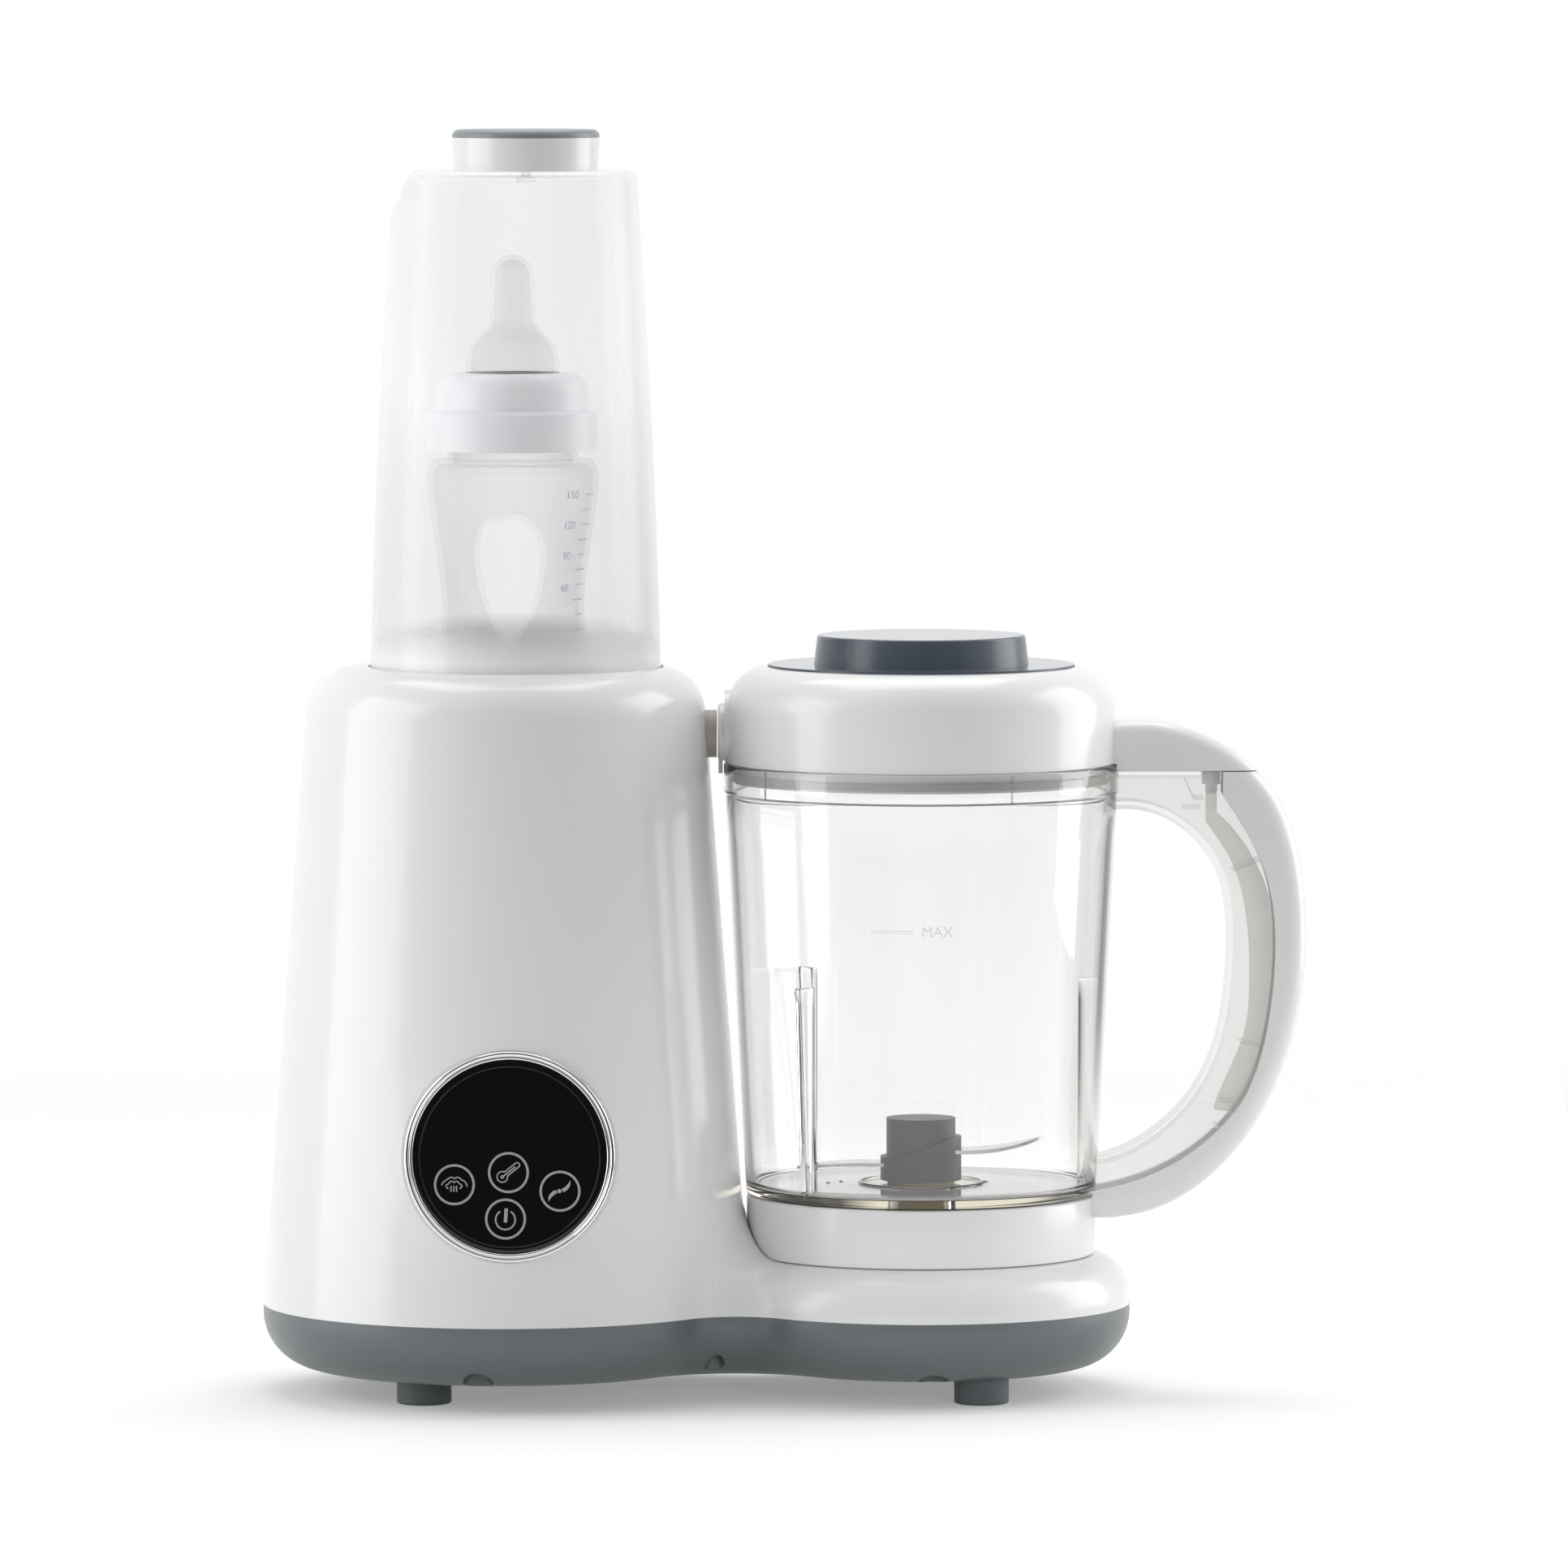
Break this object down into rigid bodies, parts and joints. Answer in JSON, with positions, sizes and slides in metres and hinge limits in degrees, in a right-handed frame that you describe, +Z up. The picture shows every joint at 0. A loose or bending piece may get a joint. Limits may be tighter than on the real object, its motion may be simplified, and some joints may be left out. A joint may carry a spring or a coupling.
{
  "type": "baby food steamer blender",
  "caption": "Countertop steamer and blender: a tower with steam chamber, feeding bottle and hood beside a lidded jug with turning blades on one shared base.",
  "frame": {"origin": "centre of the bounding box's bottom, on the surface that the feet stand on", "axes": "+Z up, -Y the front with the control panel, +X from the tower to the jug's handle"},
  "size_m": [0.341, 0.1594, 0.4123],
  "materials": {
    "gloss_white_plastic": "glossy moulded",
    "grey_green_plastic": "satin moulded",
    "foot_rubber": "matt moulded rubber",
    "screw_steel": "zinc plated",
    "bezel_chrome": "bright plated",
    "panel_black": "polished, printed from behind",
    "board_green": "solder mask",
    "chamber_grey": "satin moulded",
    "plate_steel": "brushed stainless",
    "silicone_grey": "soft silicone",
    "element_alloy": "as cast",
    "dark_plastic": "moulded",
    "nozzle_beige": "soft silicone",
    "can_steel": "zinc plated",
    "bearing_bronze": "sintered bronze",
    "magnet_dark": "sintered ferrite",
    "spring_steel": "ground",
    "lead_sleeve": "silicone sleeve",
    "copper_winding": "enamelled copper on laminations",
    "pin_beige": "moulded",
    "stand_white": "moulded",
    "bottle_clear": "clear moulded plastic",
    "collar_white": "glossy moulded",
    "teat_silicone": "translucent silicone",
    "hood_smoke": "translucent moulded plastic",
    "cap_grey": "satin moulded",
    "jug_clear": "clear moulded plastic",
    "floor_amber": "silicone, warm tint",
    "hub_grey": "moulded",
    "blade_steel": "ground stainless",
    "lid_white": "glossy moulded",
    "port_white": "glossy moulded",
    "cap_blue_grey": "satin moulded"
  },
  "bodies": {
    "base": {"base_tray": "grey_green_plastic", "rubber_feet": "foot_rubber", "tray_screws": "screw_steel", "main_housing": "gloss_white_plastic", "panel_bezel": "bezel_chrome", "panel_glass": "panel_black", "touch_board": "board_green", "steam_well": "chamber_grey", "heater_plate": "plate_steel", "heater_seal": "silicone_grey", "heater_screws": "screw_steel", "heating_element": "element_alloy", "thermostat": "dark_plastic", "steam_duct": "silicone_grey", "steam_nozzle": "nozzle_beige", "motor_mount": "screw_steel", "motor_grommets": "foot_rubber", "motor_screws": "screw_steel", "motor_can": "can_steel", "motor_bearings": "bearing_bronze", "motor_magnets": "magnet_dark", "motor_brushes": "bearing_bronze", "drive_belt": "foot_rubber", "drive_bearings": "bearing_bronze", "shaft_seal": "silicone_grey", "pin_spring": "spring_steel", "safety_switch": "dark_plastic", "power_board": "board_green", "heater_leads": "lead_sleeve", "panel_cable": "lead_sleeve", "cord_gland": "foot_rubber"},
    "rotor": {"motor_shaft": "spring_steel", "armature": "copper_winding", "motor_fan": "dark_plastic", "motor_pulley": "dark_plastic"},
    "drive": {"drive_shaft": "spring_steel", "drive_pulley": "dark_plastic", "drive_coupling": "dark_plastic"},
    "pin": {"interlock_pin": "pin_beige"},
    "stand": {"bottle_stand": "stand_white"},
    "bottle": {"bottle_body": "bottle_clear", "bottle_collar": "collar_white", "bottle_teat": "teat_silicone"},
    "hood": {"hood_shell": "hood_smoke", "hood_knob": "collar_white", "knob_cap": "cap_grey", "hood_screw": "screw_steel"},
    "jug": {"jug_body": "jug_clear", "jug_collar": "gloss_white_plastic", "handle_channel": "jug_clear", "handle_grip": "gloss_white_plastic", "spindle_bush": "floor_amber"},
    "rod": {"interlock_rod": "pin_beige"},
    "blade": {"blade_spindle": "dark_plastic", "blade_hub": "hub_grey", "blades": "blade_steel"},
    "lid": {"lid_shell": "lid_white", "lid_seal": "silicone_grey", "steam_port": "port_white"},
    "filler": {"filler_cap": "cap_blue_grey"}
  },
  "joints": [
    {"name": "motor_spin", "type": "hinge", "parent": "base", "child": "rotor", "pos_m": [-0.092, 0, 0.05], "axis": [0, 0, 1], "continuous": true},
    {"name": "drive_spin", "type": "hinge", "parent": "base", "child": "drive", "pos_m": [0.0448, 0, 0.03], "axis": [0, 0, 1], "continuous": true},
    {"name": "pin_rise", "type": "slide", "parent": "base", "child": "pin", "axis": [0, 0, 1], "range_m": [0, 0.0015], "deforming": ["pin_spring"]},
    {"name": "stand_lift", "type": "slide", "parent": "base", "child": "stand", "axis": [0, 0, 1], "range_m": [0, 0.06]},
    {"name": "bottle_lift", "type": "slide", "parent": "stand", "child": "bottle", "axis": [0, 0, 1], "range_m": [0, 0.2]},
    {"name": "hood_lift", "type": "slide", "parent": "bottle", "child": "hood", "axis": [0, 0, 1], "range_m": [0, 0.2]},
    {"name": "jug_lift", "type": "slide", "parent": "base", "child": "jug", "axis": [0, 0, 1], "range_m": [0, 0.12]},
    {"name": "blade_spin", "type": "hinge", "parent": "jug", "child": "blade", "pos_m": [0.0448, 0, 0.07], "axis": [0, 0, 1], "continuous": true},
    {"name": "lid_lift", "type": "slide", "parent": "jug", "child": "lid", "axis": [0, 0, 1], "range_m": [0, 0.12]},
    {"name": "rod_rise", "type": "slide", "parent": "jug", "child": "rod", "axis": [0, 0, 1], "range_m": [0, 0.002]},
    {"name": "filler_lift", "type": "slide", "parent": "lid", "child": "filler", "axis": [0, 0, 1], "range_m": [0, 0.08]}
  ],
  "couplings": [
    {"joint": "drive_spin", "follows": "motor_spin", "ratio": 0.40909},
    {"joint": "blade_spin", "follows": "motor_spin", "ratio": 0.40909},
    {"joint": "pin_rise", "follows": "jug_lift", "ratio": 0.0125},
    {"joint": "rod_rise", "follows": "lid_lift", "ratio": 0.0166}
  ]
}
